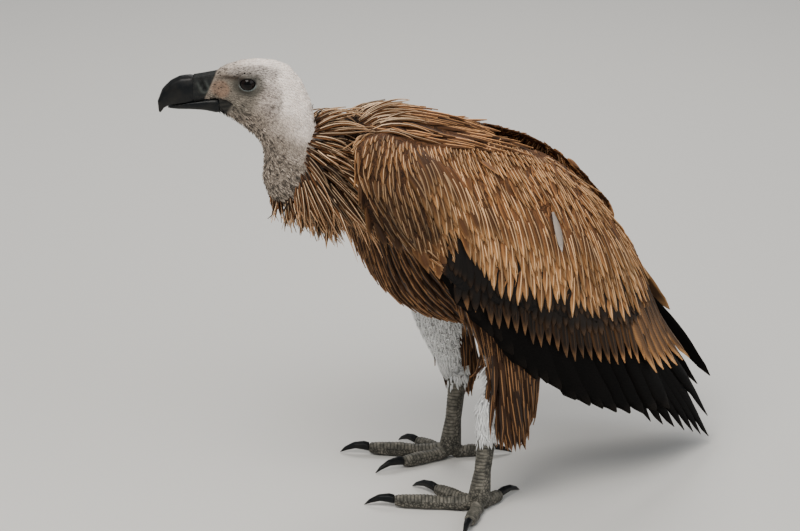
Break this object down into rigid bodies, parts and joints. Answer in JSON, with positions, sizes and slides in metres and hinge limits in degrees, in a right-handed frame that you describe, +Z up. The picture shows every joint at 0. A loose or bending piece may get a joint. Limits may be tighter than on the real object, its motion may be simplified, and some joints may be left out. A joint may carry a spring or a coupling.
{
  "type": "griffon vulture figure",
  "caption": "Life-size still figure of a standing griffon vulture with folded wings, a hooked bill and a feather ruff, for display on a flat surface.",
  "frame": {"origin": "on the floor, under the centre of the figure's bounding box", "axes": "+Z up, -Y the way the body faces, +X the bird's left"},
  "size_m": [0.296, 0.708, 0.5465],
  "materials": {
    "down": "short pale down on the head",
    "neck": "thin grey-pink down over skin",
    "ruff": "long narrow rufous feathers",
    "body": "brown contour feathers",
    "covert": "tan wing coverts",
    "greater": "dark brown greater coverts",
    "quill": "blackish flight feathers",
    "shank": "grey scaled skin",
    "horn": "dark horn, satin",
    "cere": "dark grey cere",
    "eye": "wet dark eye"
  },
  "bodies": {
    "root": {"head": "down", "neck_upper": "neck", "neck_lower": "neck", "eye_left": "eye", "eye_right": "eye", "cere": "cere", "bill_upper": "horn", "bill_lower": "horn", "ruff": "ruff", "trunk": "body", "tail": "quill", "thigh_left": "body", "shank_left": "shank", "toe_middle_left": "shank", "claw_middle_left": "horn", "toe_inner_left": "shank", "claw_inner_left": "horn", "toe_outer_left": "shank", "claw_outer_left": "horn", "toe_hind_left": "shank", "claw_hind_left": "horn", "wing_left_coverts": "covert", "wing_left_greater_coverts": "greater", "wing_left_secondaries": "quill", "wing_left_primaries": "quill", "thigh_right": "body", "shank_right": "shank", "toe_middle_right": "shank", "claw_middle_right": "horn", "toe_inner_right": "shank", "claw_inner_right": "horn", "toe_outer_right": "shank", "claw_outer_right": "horn", "toe_hind_right": "shank", "claw_hind_right": "horn", "wing_right_coverts": "covert", "wing_right_greater_coverts": "greater", "wing_right_secondaries": "quill", "wing_right_primaries": "quill"}
  },
  "joints": []
}
